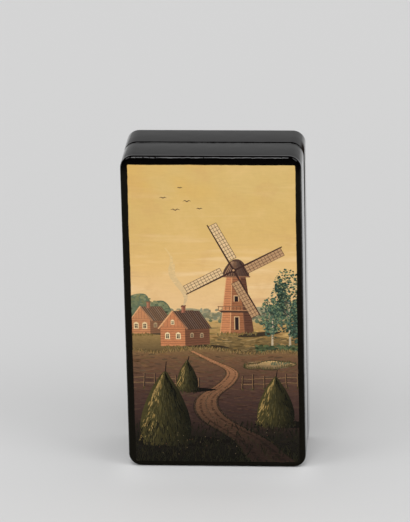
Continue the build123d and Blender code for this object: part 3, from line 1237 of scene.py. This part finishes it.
# %% [markdown]
# ## The fence and the haycocks
#
# Haycocks stand round a pole, drawn in at the foot and combed down, so the touches run from the
# pole's top outwards and down. They are the large dark shapes of the foreground, with a rim of
# light on the left. A smooth body alone would look cut out, so tufts break its foot.

# %% Set the fence
fence = Motif("painted_fence", layer=12, seed=67)
post_spacing, rail_heights = 4.6, (2.2, 4.4)
upper_edge = Vector((0, 0.18))
for start, end, foot, rise in ((-edge + 0.6, -6.5, 33.8, -1.2), (10.5, edge - 0.6, 33.0, 1.0)):
    posts = round((end - start) / post_spacing)
    places = [(start + (end - start) * i / posts, foot + rise * i / posts) for i in range(posts + 1)]
    for rail in rail_heights:
        for (u0, v0), (u1, v1) in zip(places, places[1:]):
            sag = fence.draw(-0.25, 0.25)
            left, right = Vector((u0 - 0.4, v0 + rail + sag)), Vector((u1 + 0.4, v1 + rail - sag))
            fence.bar(left, right, 0.5, fence.vary((84, 66, 50), 8), rank=1)
            fence.bar(left + upper_edge, right + upper_edge, 0.13, (158, 122, 86), rank=2)
    for u, v in places:
        lean, tall = fence.draw(-0.4, 0.4), fence.draw(5.4, 6.6)
        fence.bar((u, v), (u + lean, v + tall), 0.7, fence.vary((50, 40, 34), 6), rank=3, end_width=0.55)
        fence.bar((u - 0.2, v + 0.3), (u - 0.2 + lean, v + tall), 0.15, (152, 116, 80), rank=4)
        fence.scatter(4, (u - 0.7, u + 0.7), v + 0.2, 0.26, (0.9, 1.8), (-25, 25), (78, 68, 42), 10,
                      rank=5, sides=5)
fence.finish()

# %% Heap the hay
hay = Motif("painted_haycocks", layer=14, seed=71)
hay_body = [(-0.41, 0.015), (-0.49, 0.16), (-0.44, 0.42), (-0.27, 0.72), (-0.08, 0.93), (0.03, 0.99),
            (0.12, 0.90), (0.30, 0.68), (0.45, 0.40), (0.49, 0.16), (0.41, 0.015), (0.22, -0.035),
            (0.0, -0.05), (-0.22, -0.035)]
hay_shadow = [(-0.5, 0, -0.4), (0.4, -0.07, 0), (1.15, -0.02, 0), (1.3, 0.02, 0), (0.5, 0.07, 0),
              (-0.4, 0, 0.6)]
hay_dark, hay_olive, hay_gold = (24, 24, 18), (98, 88, 52), (160, 132, 80)


def haycock(motif, u, foot, wide, tall, rank):
    """A heap of hay round a pole, dark olive, with the light on its left."""
    def body_colour(x, y):
        across = (x - u) / wide
        return between((70, 64, 38), hay_dark, 0.5 + across * 1.3 - (y - foot) / tall * 0.25)

    motif.bar((u + 0.2, foot + tall * 0.9), (u + 0.9, foot + tall * 1.13), 0.5, (40, 32, 28), rank,
              end_width=0.3)
    motif.patch(curved([(u + x * wide, foot + y * tall + lift) for x, y, lift in hay_shadow]),
                (24, 21, 18), rank)
    motif.patch(curved([(u + x * wide, foot + y * tall) for x, y in hay_body]), body_colour, rank + 1,
                band=1.0)
    for i in range(int(wide * tall * 1.2)):
        up = motif.chance.random() ** 0.8
        half = 0.48 * (1 - up ** 1.7) + 0.02
        across = motif.draw(-1, 1)
        light = 0.5 - across * 0.62 + motif.draw(-0.28, 0.28)
        tone = hay_gold if light > 0.98 else between(hay_dark, hay_olive, light)
        motif.dab(u + across * half * wide, foot + up * tall * 0.95, (0.20, 0.38), (1.4, 3.2),
                  -across * (12 + 26 * (1 - up)), tone, 6, rank + 2, sides=5)
    for i in range(int(wide * 7)):
        across = motif.draw(-0.52, 0.52)
        sunk = foot - 0.05 * (1 - (across / 0.52) ** 2) * tall
        tone = between((74, 66, 40), (28, 27, 20), 0.45 + across + motif.draw(-0.2, 0.2))
        motif.dab(u + across * wide, (sunk - 0.4, sunk + 1.0), 0.32, (1.0, 2.6), (-34, 34), tone, 6,
                  rank + 3, sides=5)


haycock(hay, -11.0, foot=33.0, wide=8.6, tall=12.6, rank=0)
haycock(hay, 23.5, foot=18.5, wide=15.0, tall=20.5, rank=4)
haycock(hay, -20.0, foot=11.0, wide=20.5, tall=30.0, rank=8)
hay.finish()

# %% [markdown]
# ## Grass, birds and smoke
#
# The last touches: blades along the foot of the picture, a few birds going home, and thin smoke
# from a chimney. Smoke is nearly the sky's own colour, so it shows only where it crosses the woods.

# %% Sow the grass
grass = Motif("painted_grass", layer=17, seed=83)


def off_the_track(u, v):
    """Whether a place in the foreground lies clear of the cart track."""
    middle, _, wide = min(along_track, key=lambda step: abs(v - step[1]))
    return abs(u - middle) > wide * 0.5


for i in range(1150):
    v = floor_mm + 17 * grass.chance.random() ** 1.4
    u = grass.draw(-edge + 0.8, edge - 0.8)
    tone = between((25, 25, 19), (42, 39, 28), grass.chance.random())
    if off_the_track(u, v) or grass.chance.random() < 0.25:
        grass.dab(u, v, (0.18, 0.40), (1.2, 3.6), (-32, 32), tone, 3, sides=5)
for i in range(30):
    u, v = grass.draw(-edge + 2, edge - 2), floor_mm + grass.draw(3, 15)
    tone = grass.choose(((96, 82, 62), (88, 58, 46)))
    if off_the_track(u, v):
        grass.dab(u, v, 0.36, 0.36, 0, tone, 8, rank=1, sides=6)
grass.finish()

# %% Let the birds fly
birds = Motif("painted_birds", layer=4, seed=97)
bird_brown = (86, 66, 54)
for u, v, span in ((-14.0, 108.0, 3.0), (-9.4, 111.6, 2.5), (-18.6, 113.0, 2.2), (-4.6, 108.6, 1.9),
                   (-12.0, 117.2, 1.6)):
    for side in (-1, 1):
        middle = (u + side * span * 0.28, v + span * 0.20)
        tip = (u + side * span * 0.62, v + span * 0.06)
        birds.bar((u, v), middle, 0.34, bird_brown, end_width=0.28)
        birds.bar(middle, tip, 0.28, bird_brown, end_width=0.06)
birds.finish()

# %% Let the smoke rise
smoke = Motif("painted_smoke", layer=4, seed=101)
smoke_foot, smoke_rise = 68.6, 24.0
smoke_top = smoke_foot + smoke_rise
smoke_colour = mixed(fade((218, 184, 122), (204, 174, 132), smoke_top, smoke_rise), (232, 204, 156), 0.14)
puffs = 9


def smoke_place(rise):
    """How far the smoke has drifted at a share of its height, and how wide it is there."""
    drift = -7.0 * rise ** 1.4 + 1.3 * math.sin(rise * 9)
    return -11.6 + drift, 0.5 + 1.9 * math.sin(min(1.0, rise * 1.25) * math.pi * 0.86)


for strand in range(3):
    line, strand_widths = [], []
    for i in range(puffs):
        rise = i / (puffs - 1) * (1 - 0.14 * strand)
        middle, spread = smoke_place(rise)
        line.append((middle + (strand - 1) * spread * 0.34, smoke_foot + rise * smoke_rise))
        strand_widths.append(spread * smoke.draw(0.34, 0.62))
    smoke.stroke(line, strand_widths, smoke_colour, rank=strand, band=1.2)
smoke.finish()
